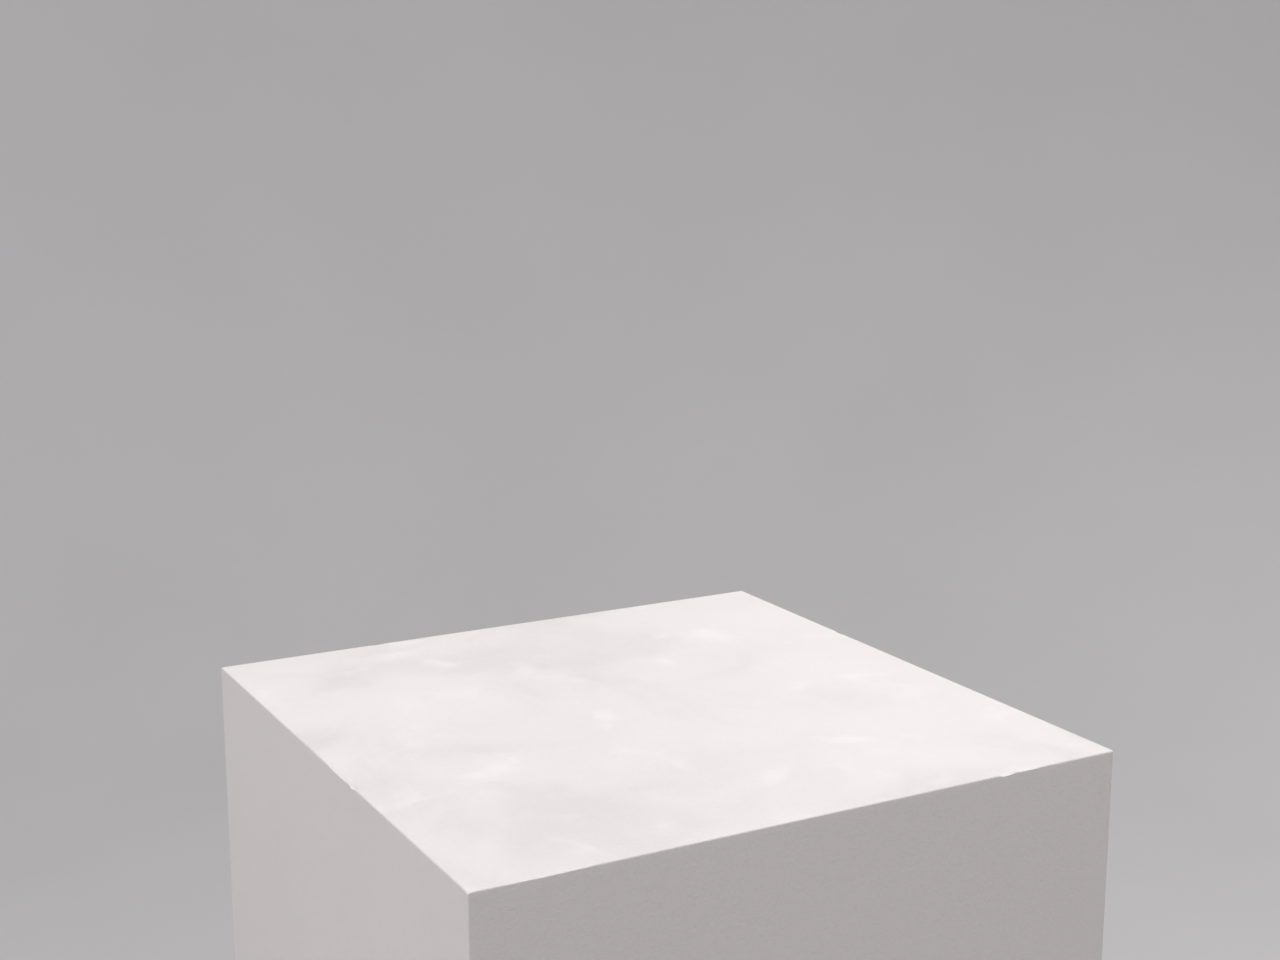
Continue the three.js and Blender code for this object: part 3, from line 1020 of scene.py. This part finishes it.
def sole_shape():
    """Rubber disc with a rounded edge and three grooves underneath."""
    bottom, top = sole_low.z, sole_high.z
    rings = [
        (top, SOLE), (bottom + 0.5 * MM, SOLE),
        (bottom + 0.15 * MM, SOLE - 0.15 * MM), (bottom, SOLE - 0.5 * MM),
    ]
    floor = bottom + SOLE_GROOVE_DEPTH
    for middle in SOLE_GROOVES:
        rings += [
            (bottom, middle + SOLE_GROOVE_MOUTH), (floor, middle + SOLE_GROOVE_FLOOR),
            (floor, middle - SOLE_GROOVE_FLOOR), (bottom, middle - SOLE_GROOVE_MOUTH),
        ]
    rings.append((bottom, 2 * MM))
    return turned(bmesh.new(), rings, 72)


def build_feet(steel, plastic, sole):
    makers = [
        ("insert_nut", "threaded_insert", insert_shape, steel, "zinc_steel", "plinth"),
        ("foot_stem", "levelling_stem", stem_shape, steel, "zinc_steel", "{corner}_stem"),
        ("foot_pad", "levelling_pad", pad_shape, plastic, "nylon", "{corner}_pad"),
        ("foot_sole", "levelling_sole", sole_shape, sole, "rubber", "{corner}_pad"),
    ]
    for node, name, maker, look, slot, body in makers:
        for i, corner in enumerate(CORNERS):
            shape = moved(maker(), turn(i) @ Matrix.Translation(FOOT_AT))
            piece = make_object(f"{corner}_{name}", shape, [look], math.radians(35))
            place_piece(piece, body.format(corner=corner), f"{corner}_{node}")


# ---------------------------------------------------------------- studio

STUDIO_RADIUS = 4.6
STUDIO_BEND = 1.8
STUDIO_HEIGHT = 4.2
STUDIO_GREY = (0.50, 0.494, 0.50)
STUDIO_GLOW = 0.16
STUDIO_SIDES = 96
BEND_STEPS = 16
FLOOR_DROP = 0.1 * MM  # keeps the floor clear of the soles
SKY_TINT = (1.0, 0.985, 0.985, 1.0)
SKY_STRENGTH = 0.55
# Name, place, the point it faces, width and height, watts
SOFTBOXES = [
    ("left_softbox", (-4.19, -0.7, 3.4), (0, 0, 0.8), (1.5, 1.0), 57.5),
    ("overhead_softbox", (0.9, -0.25, 3.6), (0.1, -0.1, 1.1), (1.6, 1.6), 46.6),
    ("right_softbox", (3.7, 0.9, 2.2), (0, 0.1, 0.7), (2.0, 2.0), 18),
]


def build_studio():
    """A round seamless backdrop, open above, which gives the same plain ground from every side."""
    flat = STUDIO_RADIUS - STUDIO_BEND
    rings = [(0.0, r) for r in (1 * MM, 1.0, 2.0, flat)]
    for i in range(1, BEND_STEPS + 1):
        a = QUARTER * i / BEND_STEPS
        rings.append((STUDIO_BEND * (1 - math.cos(a)), flat + STUDIO_BEND * math.sin(a)))
    rings.append((STUDIO_HEIGHT, STUDIO_RADIUS))
    bm = bmesh.new()
    loops = [ring_of_points(bm, ring, STUDIO_SIDES) for ring in rings]
    for below, above in zip(loops, loops[1:]):
        for i in range(STUDIO_SIDES):
            j = (i + 1) % STUDIO_SIDES
            face = bm.faces.new((below[i], above[i], above[j], below[j]))
            face.smooth = True
    bm.faces.new(loops[0])
    mesh = bpy.data.meshes.new("seamless")
    bm.to_mesh(mesh)
    bm.free()
    mesh.materials.append(backdrop_paint("seamless_grey", STUDIO_GREY, STUDIO_GLOW))
    seamless = bpy.data.objects.new("seamless", mesh)
    seamless.location.z = -FLOOR_DROP
    bpy.context.scene.collection.objects.link(seamless)


def add_softbox(name, place, aim, size, watts):
    data = bpy.data.lights.new(name, "AREA")
    data.shape = "RECTANGLE"
    data.size, data.size_y = size
    data.energy = watts
    lamp = bpy.data.objects.new(name, data)
    lamp.location = place
    lamp.rotation_euler = (Vector(aim) - Vector(place)).to_track_quat("-Z", "Y").to_euler()
    bpy.context.scene.collection.objects.link(lamp)


def light_studio():
    world = bpy.data.worlds.new("sky")
    world.use_nodes = True
    sky = world.node_tree.nodes["Background"]
    sky.inputs["Color"].default_value = SKY_TINT
    sky.inputs["Strength"].default_value = SKY_STRENGTH
    bpy.context.scene.world = world
    for softbox in SOFTBOXES:
        add_softbox(*softbox)
    bpy.context.scene.view_settings.view_transform = "Standard"


# ---------------------------------------------------------------- build

add_camera()
paint_look = paint()
steel_look = zinc()
build_outer_boards(paint_look, raw_mdf())
build_posts(softwood("post_timber", 2, (0.03, -0.05, 0)))
build_rails([softwood("rail_timber_x", 0, (0, 0.05, 0.09)), softwood("rail_timber_y", 1, (0.05, 0, 0.09))])
build_sub_top(plywood("sub_top_ply", (0, 0, 1), PLY))
dress_splines()
build_screws(steel_look)
build_feet(steel_look, nylon(), rubber())
build_studio()
light_studio()
